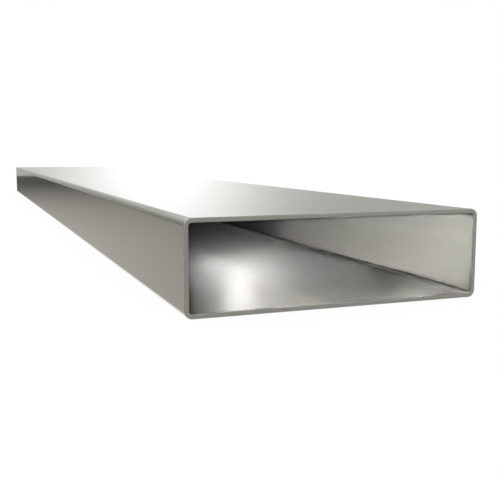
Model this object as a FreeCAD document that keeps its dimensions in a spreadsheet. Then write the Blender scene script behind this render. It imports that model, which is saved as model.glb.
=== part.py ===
import FreeCAD, Part
import enum
import math
import os

import Sketcher

# Flat channel duct: one straight length of rectangular tube with rounded corners, open at both ends.
# Millimetres. It lies on its wide side: X runs across the width, Y along the length, Z up.
# The origin is the centre of the face that it lies on.

# Driving dimensions: alias, value in millimetres, what it is.
SIZES = [
    ("duct_width", 204.0, "outside width"),
    ("duct_height", 60.0, "outside height"),
    ("duct_length", 1500.0, "length of the cut piece"),
    ("wall", 3.0, "wall thickness, the same all round"),
    ("inside_corner_radius", 2.0, "inside radius of the four long corners"),
    ("end_edge_break", 0.4, "chamfer that takes the burr off the cut ends"),
]

# The edge break stays within this share of the wall, so that a flat rim is left at each end.
EDGE_BREAK_SHARE = 0.25

OUT = "parts"


class Spot(enum.IntEnum):
    """How a sketch numbers the points of a line or an arc."""

    START = 1
    END = 2
    CENTRE = 3


class Axis(enum.IntEnum):
    """How a sketch numbers its own axes."""

    HORIZONTAL = -1
    VERTICAL = -2


def add_sizes(doc):
    """The spreadsheet that holds the driving dimensions, one alias a row."""
    sheet = doc.addObject("Spreadsheet::Sheet", "sizes")
    for row, (alias, value, words) in enumerate(SIZES, start=1):
        sheet.set(f"A{row}", words)
        sheet.set(f"B{row}", str(value))
        sheet.setAlias(f"B{row}", alias)
    doc.recompute()
    return sheet


def origin_plane(body, role):
    """One of the body's own origin planes."""
    return next(f for f in body.Origin.OriginFeatures if f.Role == role)


def tie(sketch, kind, *places):
    """Adds a constraint of shape, one that holds no size."""
    sketch.addConstraint(Sketcher.Constraint(kind, *places))


def drive(sketch, name, expression, constraint):
    """Adds a constraint that a size from the spreadsheet drives."""
    index = sketch.addConstraint(constraint)
    sketch.renameConstraint(index, name)
    sketch.setExpression(f"Constraints.{name}", expression)


def add_rounded_rectangle(sketch, width, height, base, radius):
    """A closed outline of four lines with equal arcs between them, drawn at the sizes given.

    base is how far its lowest line is above the horizontal axis. The sides run anticlockwise from
    the bottom one, and each arc follows its side. Gives back the numbers of the lines and the arcs.
    """
    left, right, low, high = -width / 2, width / 2, base, base + height
    point = FreeCAD.Vector

    # Each side's start and end, then the centre of the corner that follows it.
    sides = [
        (point(left + radius, low), point(right - radius, low), point(right - radius, low + radius)),
        (point(right, low + radius), point(right, high - radius), point(right - radius, high - radius)),
        (point(right - radius, high), point(left + radius, high), point(left + radius, high - radius)),
        (point(left, high - radius), point(left, low + radius), point(left + radius, low + radius)),
    ]
    lines, arcs = [], []
    for turn, (start, end, centre) in enumerate(sides):
        lines.append(sketch.addGeometry(Part.LineSegment(start, end), False))
        circle = Part.Circle(centre, point(0, 0, 1), radius)
        first = math.radians(90 * (turn - 1))
        arcs.append(sketch.addGeometry(Part.ArcOfCircle(circle, first, first + math.pi / 2), False))

    for turn, arc in enumerate(arcs):
        following = lines[(turn + 1) % len(lines)]
        tie(sketch, "Tangent", lines[turn], Spot.END, arc, Spot.START)
        tie(sketch, "Tangent", arc, Spot.END, following, Spot.START)
    for arc in arcs[1:]:
        tie(sketch, "Equal", arcs[0], arc)
    return lines, arcs


def add_section(body, sizes):
    """The cross-section: two outlines with concentric corners, so the wall is the same all round."""
    section = body.newObject("Sketcher::SketchObject", "section")
    section.AttachmentSupport = [(origin_plane(body, "XZ_Plane"), "")]
    section.MapMode = "FlatFace"

    width, height, wall = sizes.duct_width, sizes.duct_height, sizes.wall
    inside_radius = sizes.inside_corner_radius
    outside_radius = inside_radius + wall
    lines, corners = add_rounded_rectangle(section, width, height, 0, outside_radius)
    _, inside_corners = add_rounded_rectangle(
        section, width - 2 * wall, height - 2 * wall, wall, inside_radius)

    bottom, right_side, top, left_side = lines
    tie(section, "Symmetric", bottom, Spot.START, bottom, Spot.END, Axis.VERTICAL)
    tie(section, "PointOnObject", bottom, Spot.START, Axis.HORIZONTAL)
    tie(section, "Horizontal", top)
    tie(section, "Vertical", left_side)
    tie(section, "Vertical", right_side)
    for inside, outside in zip(inside_corners, corners):
        tie(section, "Coincident", inside, Spot.CENTRE, outside, Spot.CENTRE)

    drive(section, "width", "sizes.duct_width",
          Sketcher.Constraint("DistanceX", left_side, Spot.START, right_side, Spot.START, width))
    drive(section, "height", "sizes.duct_height",
          Sketcher.Constraint("DistanceY", bottom, Spot.START, top, Spot.START, height))
    drive(section, "outside_radius", "sizes.inside_corner_radius + sizes.wall",
          Sketcher.Constraint("Radius", corners[0], outside_radius))
    drive(section, "inside_radius", "sizes.inside_corner_radius",
          Sketcher.Constraint("Radius", inside_corners[0], inside_radius))
    return section


def add_tube(body, section):
    """The section pushed out along the length, half of it each way from the origin."""
    tube = body.newObject("PartDesign::Pad", "tube")
    tube.Profile = section
    tube.SideType = "Symmetric"
    tube.setExpression("Length", "sizes.duct_length")
    return tube


def end_faces(shape):
    """Names of the two cut ends, the flat faces that look straight along the length."""
    along = FreeCAD.Vector(0, 1, 0)
    least_cosine = 0.99
    names = []
    for number, face in enumerate(shape.Faces, start=1):
        flat = face.Surface.TypeId == "Part::GeomPlane"
        if flat and abs(face.normalAt(0, 0).dot(along)) > least_cosine:
            names.append(f"Face{number}")
    return names


def add_end_breaks(body, tube):
    """A small chamfer round the inside and the outside of both cut ends."""
    breaks = body.newObject("PartDesign::Chamfer", "end_breaks")
    breaks.Base = (tube, end_faces(tube.Shape))
    breaks.setExpression("Size", f"min(sizes.end_edge_break; sizes.wall * {EDGE_BREAK_SHARE})")


def add_duct(doc, sizes):
    """The duct, one solid."""
    body = doc.addObject("PartDesign::Body", "duct")
    tube = add_tube(body, add_section(body, sizes))
    doc.recompute()
    add_end_breaks(body, tube)
    return body


def check(doc, pieces):
    """Stops the script if a feature failed or a piece isn't one sound solid."""
    for item in doc.Objects:
        if "Invalid" in item.State or "Error" in item.State:
            raise RuntimeError(f"{item.Label} failed: {item.State}")
    for piece in pieces:
        shape = piece.Shape
        if shape.isNull() or not shape.isValid() or len(shape.Solids) != 1:
            raise RuntimeError(f"{piece.Label} isn't one valid solid")


def main():
    doc = FreeCAD.newDocument("flat_channel_duct")
    sizes = add_sizes(doc)
    pieces = [add_duct(doc, sizes)]
    doc.recompute()
    check(doc, pieces)
    os.makedirs(OUT, exist_ok=True)
    for piece in pieces:
        piece.Shape.exportStep(os.path.join(OUT, f"{piece.Label}.step"))
        box = piece.Shape.BoundBox
        print(f"{piece.Label}: {box.XLength:.2f} x {box.YLength:.2f} x {box.ZLength:.2f} mm,"
              f" {piece.Shape.Volume:.0f} mm3, {len(piece.Shape.Faces)} faces")


main()
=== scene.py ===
import math

import bpy
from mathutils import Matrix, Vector


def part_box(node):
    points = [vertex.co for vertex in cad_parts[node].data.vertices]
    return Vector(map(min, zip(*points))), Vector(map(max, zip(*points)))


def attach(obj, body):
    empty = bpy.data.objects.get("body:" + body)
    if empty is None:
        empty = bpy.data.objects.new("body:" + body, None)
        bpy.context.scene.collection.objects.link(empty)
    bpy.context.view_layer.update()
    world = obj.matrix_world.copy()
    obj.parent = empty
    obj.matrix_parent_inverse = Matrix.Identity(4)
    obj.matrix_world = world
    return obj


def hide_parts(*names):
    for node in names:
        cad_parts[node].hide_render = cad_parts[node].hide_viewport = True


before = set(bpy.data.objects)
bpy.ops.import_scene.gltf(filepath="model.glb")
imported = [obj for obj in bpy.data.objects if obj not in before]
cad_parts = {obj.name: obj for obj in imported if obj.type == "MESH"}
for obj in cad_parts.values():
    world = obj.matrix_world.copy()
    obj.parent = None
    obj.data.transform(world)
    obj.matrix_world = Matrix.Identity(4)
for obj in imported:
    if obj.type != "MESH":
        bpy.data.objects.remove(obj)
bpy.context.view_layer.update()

# A straight length of flat channel duct in satin steel, lying on a white floor.
# Metres. X runs across the width, Y along the length, Z up, as in the frame.

NODE = "duct"
LOW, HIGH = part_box(NODE)
WIDTH = HIGH.x - LOW.x
HEIGHT = HIGH.z - LOW.z
MIDDLE_HEIGHT = (LOW.z + HIGH.z) / 2
WALL = 0.003
INSIDE_RADIUS = 0.002
OUTSIDE_RADIUS = INSIDE_RADIUS + WALL
EDGE_BREAK = 0.0004
CORNER_STEPS = 16
SHARP_ANGLE = math.radians(30)

# The camera: where it stands, where it looks and how long its lens is.
CAMERA_PLACE = Vector((-0.2182, -1.1653, 0.0979))
CAMERA_TURN = math.radians(20.711)
CAMERA_DOWN = math.radians(7.481)
FOCAL_PIXELS = 749.45
IMAGE_PIXELS = 500
SENSOR = 36.0

# The steel as rolled, where it is sawn and where it is worn. The sawn ends' darker colour is partly
# painted shade.
STEEL = (0.308, 0.30, 0.275, 1.0)
SAWN_STEEL_WITH_PAINTED_SHADE = (0.240, 0.237, 0.212, 1.0)
WORN_STEEL = (0.350, 0.341, 0.315, 1.0)
ROUGHNESS = 0.10
CUT_ROUGHNESS = 0.3
INNER_CORNER_ROUGHNESS = 0.3
ANISOTROPY = 0.5

# How many lines or patches the steel's patterns have in a metre, as (x, y, z).
GRAIN = (2000.0, 14.0, 2000.0)
MOTTLE = (22.0, 5.0, 22.0)
SAW_MARKS = (60.0, 60.0, 1800.0)
WEAR_PATCHES = (60.0, 25.0, 60.0)
PATTERN_DETAIL = 3.0
PATTERN_MIDDLE = 0.5
GRAIN_RANGE = (0.3, 0.7)
WEAR_RANGE = (0.35, 0.75)
GRAIN_DEPTH = 0.000003
SAW_DEPTH = 0.00001

# How far the grain and the mottle change the steel's brightness and roughness, from end to end.
GRAIN_SHADE = 0.10
MOTTLE_SHADE = 0.08
GRAIN_ROUGHNESS = 0.03
MOTTLE_ROUGHNESS = 0.03

# How squarely a cut end faces along the length, and how far a corner leans from every axis.
CUT_FACING = (0.6, 0.8)
CORNER_LEAN = (0.05, 0.25)

# The floor: paper that keeps the shadow, with a glow over this share of it, so that it shows as white.
FLOOR_SIZE = 60.0
FLOOR_WHITE = (0.9, 0.9, 0.9, 1.0)
FLOOR_LIFT = 0.9
WORLD_LIGHT = 0.9

# The key light: a large soft lamp in front, to the left and above.
KEY_PLACE = Vector((-1.6, -2.4, 2.6))
KEY_SIZE = 4.0
KEY_POWER = 40.0

# The backdrop: grey low down, with one soft bright patch, and paler higher up.
BACKDROP_PLACE = 2.0
BACKDROP_WIDTH = 8.0
BACKDROP_HEIGHT = 0.8
BACKDROP_GREY = 0.47
BACKDROP_PALE = 0.75
BACKDROP_PALE_HEIGHTS = (0.35, 0.65)
PATCH_GLOW = 0.82
PATCH_PLACE = 0.565
PATCH_REACH = 0.45

# The floor card on the left: bright in front and darker towards the back.
SIDE_CARD_WIDTH = 3.0
SIDE_CARD_GAP = 0.0005
SIDE_CARD_FRONT = -0.95
SIDE_CARD_BACK = 4.0
SIDE_CARD_FADE = (1.4, -0.9)
SIDE_CARD_DARK = 0.1
SIDE_CARD_BRIGHT = 0.66

# A black flag behind the far end, which keeps the backdrop's light out of the duct.
FLAG_GAP = 0.01
FLAG_GLOW = 0.03

WHITE = (1.0, 1.0, 1.0, 1.0)
GREY_TINT = (0.985, 1.0, 0.93, 1.0)
WARM_TINT = (1.04, 1.0, 0.92, 1.0)
SOFTBOX_TINT = (1.0, 0.99, 0.96)

# Softboxes without shadows: the turn from straight back, the rise, the width and the height, all in
# degrees as the duct's front end sees them, and the brightness, where 1 is white. The upright and the
# band are made of boxes that overlap, which softens their edges.
LAMP_DISTANCE = 8.0
SOFTBOXES = {
    "upright_core": (19.5, 11.6, 2.4, 5.4, 0.95),
    "upright_middle": (19.8, 11.6, 3.8, 5.4, 0.5),
    "upright_edge": (19.5, 11.6, 7.2, 5.4, 0.4),
    "band": (18.5, 8.5, 11.0, 0.75, 1.9),
    "band_core": (19.5, 8.5, 6.0, 0.75, 0.9),
    "band_end": (26.5, 8.3, 7.0, 0.6, 1.3),
    "strip": (31.2, 12.6, 17.6, 2.6, 1.7),
    "strip_right": (36.5, 11.2, 9.0, 2.2, 0.8),
    "corner": (-9.0, 35.0, 10.0, 12.0, 1.9),
}

# A row of softboxes below the floor on the left, side by side, in the same terms. They grow evenly
# brighter from the first to the last.
LOW_TURN = -21.5
LOW_RISE = -6.5
LOW_WIDTH = 3.0
LOW_HEIGHT = 8.0
LOW_COUNT = 6
LOW_FIRST_BRIGHTNESS = 0.3
LOW_LAST_BRIGHTNESS = 1.65


class Nodes:
    """Short ways to add and link nodes in one node tree."""

    # Where a colour mix has its two colours and its result, which share their names with other sockets.
    MIX_COLOURS = (6, 7)
    MIX_RESULT = 2

    def __init__(self, tree):
        self.tree = tree

    def add(self, kind, **settings):
        """A new node with these settings."""
        node = self.tree.nodes.new(kind)
        for name, value in settings.items():
            setattr(node, name, value)
        return node

    def link(self, source, target):
        """A link from one socket to another."""
        self.tree.links.new(source, target)

    def feed(self, value, socket):
        """Gives a socket its value: another socket or a constant."""
        if isinstance(value, bpy.types.NodeSocket):
            self.link(value, socket)
        else:
            socket.default_value = value

    def math(self, operation, *values):
        """The result of one sum on sockets or numbers."""
        node = self.add("ShaderNodeMath", operation=operation)
        for socket, value in zip(node.inputs, values):
            self.feed(value, socket)
        return node.outputs[0]

    def blend(self, first, second, factor):
        """A mix of two colours, each a socket or a constant."""
        node = self.add("ShaderNodeMix", data_type="RGBA")
        self.link(factor, node.inputs["Factor"])
        for place, colour in zip(self.MIX_COLOURS, (first, second)):
            self.feed(colour, node.inputs[place])
        return node.outputs[self.MIX_RESULT]

    def mix_shaders(self, first, second, factor):
        """A mix of the shaders that two nodes give."""
        node = self.add("ShaderNodeMixShader")
        self.link(factor, node.inputs["Fac"])
        self.link(first.outputs[0], node.inputs[1])
        self.link(second.outputs[0], node.inputs[2])
        return node.outputs[0]

    def step(self, value, low, high):
        """A soft step from 0 at low to 1 at high."""
        node = self.add("ShaderNodeMapRange", interpolation_type="SMOOTHSTEP")
        self.link(value, node.inputs["Value"])
        node.inputs["From Min"].default_value = low
        node.inputs["From Max"].default_value = high
        return node.outputs[0]

    def hump(self, value, centre, reach):
        """A soft hump, 1 at the centre."""
        away = self.math("DIVIDE", self.math("SUBTRACT", value, centre), reach)
        return self.math("EXPONENT", self.math("MULTIPLY", self.math("MULTIPLY", away, away), -1.0))

    def pattern(self, coordinates, scale):
        """A noise from 0 to 1, stretched by its scale."""
        stretch = self.add("ShaderNodeMapping")
        self.link(coordinates, stretch.inputs["Vector"])
        stretch.inputs["Scale"].default_value = scale
        noise = self.add("ShaderNodeTexNoise")
        self.link(stretch.outputs[0], noise.inputs["Vector"])
        noise.inputs["Scale"].default_value = 1.0
        noise.inputs["Detail"].default_value = PATTERN_DETAIL
        return noise.outputs[0]


def add_object(name, data):
    """A new object in the scene."""
    made = bpy.data.objects.new(name, data)
    bpy.context.scene.collection.objects.link(made)
    return made


def aim(thing, direction):
    """Turns a lamp so that it shines in a direction."""
    thing.rotation_euler = direction.to_track_quat("-Z", "Y").to_euler()


def rounded_rectangle(inset):
    """The section's outline that lies this far inside the outer one, anticlockwise, as (x, z) points."""
    radius = OUTSIDE_RADIUS - inset
    across, up = WIDTH / 2 - OUTSIDE_RADIUS, HEIGHT / 2 - OUTSIDE_RADIUS
    centres = [(across, -up), (across, up), (-across, up), (-across, -up)]
    points = []
    for turn, (x, z) in enumerate(centres):
        for part in range(CORNER_STEPS + 1):
            angle = math.radians(90 * (turn - 1 + part / CORNER_STEPS))
            points.append((x + radius * math.cos(angle), MIDDLE_HEIGHT + z + radius * math.sin(angle)))
    return points


def duct_mesh():
    """The duct's whole skin: outside, inside, both cut rims and the broken edges round them."""
    # Each ring is an outline at one place along the length, in order round the wall.
    rings = [
        (0.0, LOW.y + EDGE_BREAK),
        (0.0, HIGH.y - EDGE_BREAK),
        (EDGE_BREAK, HIGH.y),
        (WALL - EDGE_BREAK, HIGH.y),
        (WALL, HIGH.y - EDGE_BREAK),
        (WALL, LOW.y + EDGE_BREAK),
        (WALL - EDGE_BREAK, LOW.y),
        (EDGE_BREAK, LOW.y),
    ]
    points = []
    for inset, y in rings:
        points += [(x, y, z) for x, z in rounded_rectangle(inset)]
    around = len(points) // len(rings)
    faces = []
    for ring in range(len(rings)):
        here = ring * around
        there = (ring + 1) % len(rings) * around
        for point in range(around):
            following = (point + 1) % around
            faces.append((here + point, there + point, there + following, here + following))
    mesh = bpy.data.meshes.new("flat_channel")
    mesh.from_pydata(points, [], faces)
    mesh.validate()
    mesh.shade_smooth()
    mesh.set_sharp_from_angle(angle=SHARP_ANGLE)
    return mesh


def satin_steel():
    """Rolled steel with a fine lengthwise grain, worn along its corners and sawn at its ends, where
    painted shade also darkens its colour.
    """
    material = bpy.data.materials.new("satin_steel")
    material.use_nodes = True
    nodes = Nodes(material.node_tree)
    shader = material.node_tree.nodes["Principled BSDF"]
    shader.inputs["Metallic"].default_value = 1.0
    shader.inputs["Anisotropic"].default_value = ANISOTROPY
    across_grain = nodes.add("ShaderNodeTangent", direction_type="RADIAL", axis="Y")
    nodes.link(across_grain.outputs[0], shader.inputs["Tangent"])

    coordinates = nodes.add("ShaderNodeTexCoord")
    place = coordinates.outputs["Object"]
    grain = nodes.step(nodes.pattern(place, GRAIN), *GRAIN_RANGE)
    mottle = nodes.pattern(place, MOTTLE)
    saw_marks = nodes.pattern(place, SAW_MARKS)
    patches = nodes.pattern(place, WEAR_PATCHES)

    # The surface's direction tells a cut end from a wall, and a corner or broken edge from both.
    direction = nodes.add("ShaderNodeVectorMath", operation="ABSOLUTE")
    nodes.link(coordinates.outputs["Normal"], direction.inputs[0])
    parts = nodes.add("ShaderNodeSeparateXYZ")
    nodes.link(direction.outputs[0], parts.inputs[0])
    cut = nodes.step(parts.outputs["Y"], *CUT_FACING)
    squarest = nodes.math("MAXIMUM", parts.outputs["Y"], parts.outputs["Z"])
    squarest = nodes.math("MAXIMUM", parts.outputs["X"], squarest)
    corner = nodes.step(nodes.math("SUBTRACT", 1.0, squarest), *CORNER_LEAN)
    worn = nodes.math("MULTIPLY", corner, nodes.step(patches, *WEAR_RANGE))

    # A surface that faces the duct's middle line is an inner one. The place along the length is left out.
    from_middle = nodes.add("ShaderNodeVectorMath", operation="MULTIPLY_ADD")
    nodes.link(place, from_middle.inputs[0])
    from_middle.inputs[1].default_value = (1.0, 0.0, 1.0)
    from_middle.inputs[2].default_value = (0.0, 0.0, -MIDDLE_HEIGHT)
    outward = nodes.add("ShaderNodeVectorMath", operation="DOT_PRODUCT")
    nodes.link(from_middle.outputs[0], outward.inputs[0])
    nodes.link(coordinates.outputs["Normal"], outward.inputs[1])
    inner = nodes.math("LESS_THAN", outward.outputs["Value"], 0.0)
    dull = nodes.math("MULTIPLY", corner, inner)

    grain_change = nodes.math("SUBTRACT", grain, PATTERN_MIDDLE)
    mottle_change = nodes.math("SUBTRACT", mottle, PATTERN_MIDDLE)
    brightness = nodes.math("MULTIPLY_ADD", grain_change, GRAIN_SHADE, 1.0)
    brightness = nodes.math("MULTIPLY_ADD", mottle_change, MOTTLE_SHADE, brightness)
    # The cut ends' darker colour is partly painted shade, not only the sawn steel's own tone.
    colour = nodes.blend(nodes.blend(STEEL, SAWN_STEEL_WITH_PAINTED_SHADE, cut), WORN_STEEL, worn)
    varied = nodes.add("ShaderNodeVectorMath", operation="SCALE")
    nodes.link(colour, varied.inputs[0])
    nodes.link(brightness, varied.inputs["Scale"])
    nodes.link(varied.outputs[0], shader.inputs["Base Color"])

    rough = nodes.math("MULTIPLY_ADD", grain_change, GRAIN_ROUGHNESS, ROUGHNESS)
    rough = nodes.math("MULTIPLY_ADD", mottle_change, MOTTLE_ROUGHNESS, rough)
    rough = nodes.math("MULTIPLY_ADD", cut, CUT_ROUGHNESS - ROUGHNESS, rough)
    rough = nodes.math("MULTIPLY_ADD", dull, INNER_CORNER_ROUGHNESS - ROUGHNESS, rough)
    nodes.link(rough, shader.inputs["Roughness"])

    # The relief's depths are in metres already, so it is not scaled again.
    sawn = nodes.math("MULTIPLY", saw_marks, cut)
    height = nodes.math("MULTIPLY_ADD", sawn, SAW_DEPTH, nodes.math("MULTIPLY", grain, GRAIN_DEPTH))
    relief = nodes.add("ShaderNodeBump")
    relief.inputs["Distance"].default_value = 1.0
    nodes.link(height, relief.inputs["Height"])
    nodes.link(relief.outputs[0], shader.inputs["Normal"])
    return material


def add_duct():
    """The duct, in place of its solid."""
    duct = add_object("flat_channel", duct_mesh())
    duct.data.materials.append(satin_steel())
    shading = duct.modifiers.new("even_shading", "WEIGHTED_NORMAL")
    shading.keep_sharp = True
    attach(duct, "root")
    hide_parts(NODE)


def seen_as_background(nodes):
    """1 for the rays that show the background: the camera's, and those off metal or through glass."""
    path = nodes.add("ShaderNodeLightPath")
    seen = path.outputs["Is Camera Ray"]
    for name in ("Is Glossy Ray", "Is Transmission Ray"):
        seen = nodes.math("MAXIMUM", seen, path.outputs[name])
    return seen


def flat_sheet(name, corner, across, along):
    """A rectangle from its corner and its two sides."""
    corner, across, along = Vector(corner), Vector(across), Vector(along)
    points = [corner, corner + across, corner + across + along, corner + along]
    mesh = bpy.data.meshes.new(name)
    mesh.from_pydata(points, [], [range(len(points))])
    sheet = add_object(name, mesh)
    return sheet


def new_material(name):
    """An empty material, its nodes and its output."""
    material = bpy.data.materials.new(name)
    material.use_nodes = True
    material.node_tree.nodes.clear()
    nodes = Nodes(material.node_tree)
    return material, nodes, nodes.add("ShaderNodeOutputMaterial")


def add_floor():
    """The white floor."""
    corner = (-FLOOR_SIZE / 2, -FLOOR_SIZE / 2, 0)
    floor = flat_sheet("floor", corner, (FLOOR_SIZE, 0, 0), (0, FLOOR_SIZE, 0))
    material, nodes, output = new_material("white_floor")
    paper = nodes.add("ShaderNodeBsdfDiffuse")
    paper.inputs["Color"].default_value = FLOOR_WHITE
    # The glow makes up what the paper's own light lacks of white.
    glow = nodes.add("ShaderNodeEmission")
    paper_light = (1.0 - FLOOR_LIFT) * FLOOR_WHITE[0] * WORLD_LIGHT
    glow.inputs["Strength"].default_value = (1.0 - paper_light) / FLOOR_LIFT
    share = nodes.math("MULTIPLY", seen_as_background(nodes), FLOOR_LIFT)
    nodes.link(nodes.mix_shaders(paper, glow, share), output.inputs["Surface"])
    floor.data.materials.append(material)


def light_card(name, corner, across, along):
    """A glowing card that only the metal shows. Gives back its nodes, its places and its light."""
    card = flat_sheet(name, corner, across, along)
    card.visible_camera = False
    card.visible_diffuse = False
    card.visible_transmission = False
    card.visible_shadow = False
    material, nodes, output = new_material(name)
    card.data.materials.append(material)
    # It glows on its front and is clear from behind.
    light = nodes.add("ShaderNodeEmission")
    clear = nodes.add("ShaderNodeBsdfTransparent")
    behind = nodes.add("ShaderNodeNewGeometry").outputs["Backfacing"]
    nodes.link(nodes.mix_shaders(light, clear, behind), output.inputs["Surface"])
    places = nodes.add("ShaderNodeSeparateXYZ")
    nodes.link(nodes.add("ShaderNodeTexCoord").outputs["Object"], places.inputs[0])
    return nodes, places.outputs, light


def add_backdrop():
    """Behind the duct, for its top."""
    corner = (-BACKDROP_WIDTH / 2, BACKDROP_PLACE, 0)
    nodes, place, light = light_card("backdrop", corner, (BACKDROP_WIDTH, 0, 0), (0, 0, BACKDROP_HEIGHT))
    patch = nodes.hump(place["X"], PATCH_PLACE, PATCH_REACH)
    glow = nodes.math("MULTIPLY_ADD", patch, PATCH_GLOW, BACKDROP_GREY)
    missing = nodes.math("SUBTRACT", BACKDROP_PALE, glow)
    pale = nodes.step(place["Z"], *BACKDROP_PALE_HEIGHTS)
    nodes.link(nodes.blend(GREY_TINT, WHITE, patch), light.inputs["Color"])
    nodes.link(nodes.math("MULTIPLY_ADD", pale, missing, glow), light.inputs["Strength"])


def add_side_card():
    """On the floor to the left, for the left side."""
    corner = (LOW.x - SIDE_CARD_GAP - SIDE_CARD_WIDTH, SIDE_CARD_FRONT, SIDE_CARD_GAP)
    along = (0, SIDE_CARD_BACK - SIDE_CARD_FRONT, 0)
    nodes, place, light = light_card("side_card", corner, (SIDE_CARD_WIDTH, 0, 0), along)
    light.inputs["Color"].default_value = WARM_TINT
    near = nodes.step(place["Y"], *SIDE_CARD_FADE)
    rise = SIDE_CARD_BRIGHT - SIDE_CARD_DARK
    nodes.link(nodes.math("MULTIPLY_ADD", near, rise, SIDE_CARD_DARK), light.inputs["Strength"])


def add_flag():
    """Black, close behind the far end."""
    corner = (LOW.x, HIGH.y + FLAG_GAP, LOW.z)
    _, _, light = light_card("flag", corner, (WIDTH, 0, 0), (0, 0, HEIGHT))
    light.inputs["Strength"].default_value = FLAG_GLOW


def add_world():
    """White all round, and a little dimmer as a light."""
    world = bpy.data.worlds.new("studio")
    world.use_nodes = True
    nodes = Nodes(world.node_tree)
    background = world.node_tree.nodes["Background"]
    background.inputs["Color"].default_value = WHITE
    strength = nodes.math("MULTIPLY_ADD", seen_as_background(nodes), 1.0 - WORLD_LIGHT, WORLD_LIGHT)
    nodes.link(strength, background.inputs["Strength"])
    bpy.context.scene.world = world


def add_key_light():
    """The one lamp with a shadow, aimed at the floor under the duct's middle."""
    data = bpy.data.lights.new("key", "AREA")
    data.energy = KEY_POWER
    data.size = KEY_SIZE
    key = add_object("key", data)
    key.location = KEY_PLACE
    aim(key, -KEY_PLACE)


def lamp_size(angle):
    """The size that fills an angle in degrees at the softboxes' distance."""
    return 2 * LAMP_DISTANCE * math.tan(math.radians(angle / 2))


def add_softbox(name, turn, rise, wide, tall, brightness):
    """A far rectangular lamp that shines on the duct's front end and lights the metal alone."""
    turn, rise = math.radians(turn), math.radians(rise)
    away = Vector((math.sin(turn) * math.cos(rise), math.cos(turn) * math.cos(rise), math.sin(rise)))
    width, height = lamp_size(wide), lamp_size(tall)
    data = bpy.data.lights.new(name, "AREA")
    data.shape = "RECTANGLE"
    data.size = width
    data.size_y = height
    data.energy = brightness * math.pi * width * height
    data.color = SOFTBOX_TINT
    # Its light passes the duct's walls, so it isn't looked for by rays that the walls would stop.
    data.use_shadow = False
    data.cycles.use_multiple_importance_sampling = False
    lamp = add_object(name, data)
    lamp.visible_camera = False
    lamp.visible_diffuse = False
    front_end = Vector((0, LOW.y, MIDDLE_HEIGHT))
    lamp.location = front_end + away * LAMP_DISTANCE
    aim(lamp, -away)


def add_low_row():
    """The row of softboxes below the floor."""
    growth = (LOW_LAST_BRIGHTNESS - LOW_FIRST_BRIGHTNESS) / (LOW_COUNT - 1)
    for place in range(LOW_COUNT):
        turn = LOW_TURN - place * LOW_WIDTH
        brightness = LOW_FIRST_BRIGHTNESS + place * growth
        add_softbox(f"low_{place}", turn, LOW_RISE, LOW_WIDTH, LOW_HEIGHT, brightness)


def add_camera():
    """The camera at the viewing angle. Unturned it looks straight down."""
    data = bpy.data.cameras.new("camera")
    data.sensor_width = SENSOR
    data.lens = FOCAL_PIXELS / IMAGE_PIXELS * SENSOR
    camera = add_object("camera", data)
    camera.location = CAMERA_PLACE
    camera.rotation_euler = (math.pi / 2 - CAMERA_DOWN, 0, -CAMERA_TURN)
    bpy.context.scene.camera = camera


add_duct()
add_floor()
add_backdrop()
add_side_card()
add_flag()
add_world()
add_key_light()
for box_name, box_numbers in SOFTBOXES.items():
    add_softbox(box_name, *box_numbers)
add_low_row()
add_camera()
bpy.context.scene.view_settings.view_transform = "Standard"
